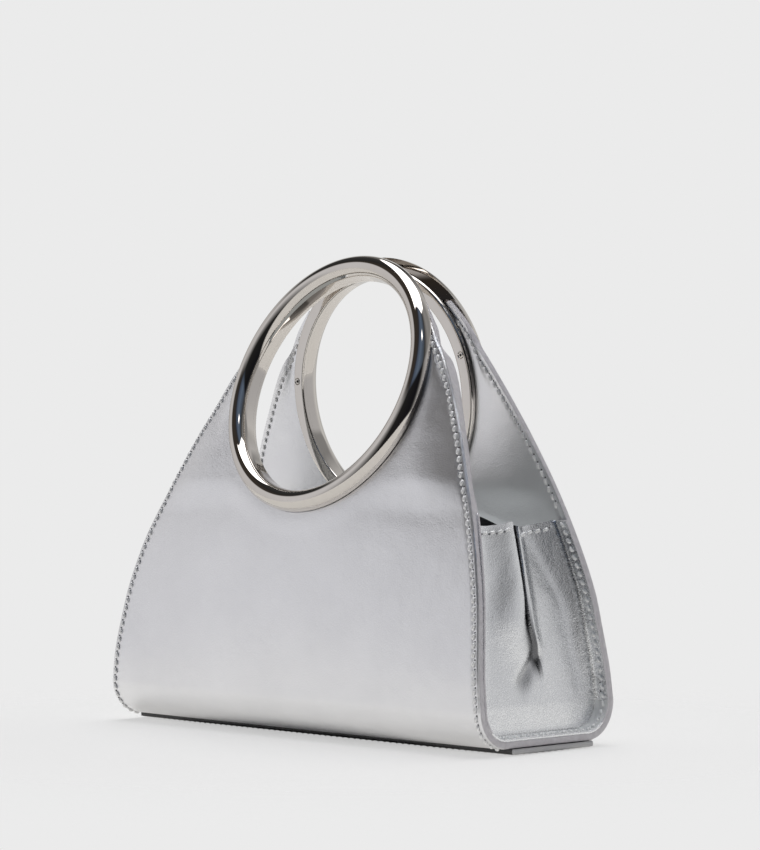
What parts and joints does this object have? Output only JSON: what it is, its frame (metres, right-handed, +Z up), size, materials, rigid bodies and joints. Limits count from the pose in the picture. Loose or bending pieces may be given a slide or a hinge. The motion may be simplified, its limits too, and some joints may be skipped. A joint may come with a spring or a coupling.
{
  "type": "handbag",
  "caption": "Small structured handbag of silver metallic leather with clamped round metal ring handles, pleated end gussets, a flat base strip and a black lining.",
  "frame": {"origin": "centre of the bounding box on the underside of the base strip", "axes": "+X along the bag's length to its right end, +Y toward its back, +Z up"},
  "size_m": [0.2206, 0.079, 0.1961],
  "materials": {
    "silver_leather": "smooth metallic silver",
    "gusset_leather": "smooth metallic silver, soft",
    "base_leather": "smooth metallic silver",
    "lining_fabric": "matt black",
    "ring_metal": "polished nickel"
  },
  "bodies": {
    "root": {"front_panel": "silver_leather", "back_panel": "silver_leather", "gusset_left": "gusset_leather", "gusset_right": "gusset_leather", "base_panel": "base_leather", "lining": "lining_fabric", "front_ring": "ring_metal", "back_ring": "ring_metal", "front_ring_plate": "ring_metal", "back_ring_plate": "ring_metal", "front_screw_left": "ring_metal", "front_screw_right": "ring_metal", "back_screw_left": "ring_metal", "back_screw_right": "ring_metal"}
  },
  "joints": []
}
